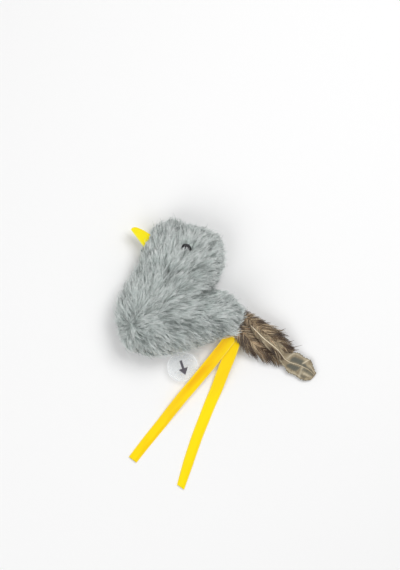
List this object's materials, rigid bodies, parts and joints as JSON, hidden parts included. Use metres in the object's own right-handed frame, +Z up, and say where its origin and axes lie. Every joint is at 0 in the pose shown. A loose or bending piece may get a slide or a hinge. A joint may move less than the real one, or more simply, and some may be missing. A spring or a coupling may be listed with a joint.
{
  "type": "cat toy",
  "caption": "Plush bird cat toy on its side, with felt beak, bead eyes, ribbon legs, feather tail and a chirping sound module with a pull tab.",
  "frame": {"origin": "on the floor under the middle of the body, on the flat of the lower side that the toy lies on", "axes": "+X from the breast to the tail, +Y from the belly to the crown, +Z up through the bird from its lower to its upper side"},
  "size_m": [0.1203, 0.1643, 0.0345],
  "materials": {
    "plush": "long grey pile",
    "fibre": "loose fibre",
    "thread": "matt",
    "felt": "felt",
    "eye": "polished",
    "ribbon": "satin",
    "brown_feather": "soft barbs",
    "buff_feather": "barred vane",
    "dark_feather": "soft barbs",
    "film": "clear film",
    "white_plastic": "moulded",
    "black_plastic": "moulded",
    "red_lead": "insulation",
    "steel": "nickel plated",
    "brass": "plain",
    "ceramic": "matt",
    "board": "solder mask"
  },
  "bodies": {
    "bird": {"body_plush_upper": "plush", "body_plush_lower": "plush", "head_plush_upper": "plush", "head_plush_lower": "plush", "fibre_filling": "fibre", "seam_thread_crown": "thread", "seam_thread_breast": "thread", "beak": "felt", "upper_eye": "eye", "lower_eye": "eye", "upper_eye_washer": "white_plastic", "lower_eye_washer": "white_plastic", "front_leg_ribbon": "ribbon", "rear_leg_ribbon": "ribbon", "case_base": "white_plastic", "case_cover": "white_plastic", "case_screw_1": "steel", "case_screw_2": "steel", "case_screw_3": "steel", "button_cell_1": "steel", "button_cell_2": "steel", "button_cell_3": "steel", "battery_terminal_minus": "steel", "battery_terminal_plus": "steel", "cell_link_low": "steel", "cell_link_high": "steel", "circuit_board": "board", "sound_chip": "black_plastic", "capacitor": "black_plastic", "piezo_plate": "brass", "piezo_ceramic": "ceramic", "sounder_lead_red": "red_lead", "sounder_lead_black": "black_plastic", "motion_switch_can": "brass", "motion_switch_cap": "black_plastic"},
    "tab": {"pull_tab": "film"},
    "switch_ball": {"motion_switch_ball": "steel"},
    "tail": {"tail_feather_upper": "brown_feather", "tail_feather_barred": "buff_feather", "tail_feather_lower": "dark_feather", "tail_binding": "thread"}
  },
  "joints": [
    {"name": "tab_pull", "type": "slide", "parent": "bird", "child": "tab", "axis": [0.3172, -0.9426, -0.1045], "range_m": [0, 0.01]},
    {"name": "ball_roll", "type": "slide", "parent": "bird", "child": "switch_ball", "axis": [0.9478, 0.319, 0], "range_m": [0, 0.0043]},
    {"name": "tail_wag", "type": "hinge", "parent": "bird", "child": "tail", "pos_m": [0.03577, -0.00659, 0.0123], "axis": [0, 0, 1], "range_deg": [-5, 25], "stiffness_Nm_per_rad": 0.002}
  ]
}
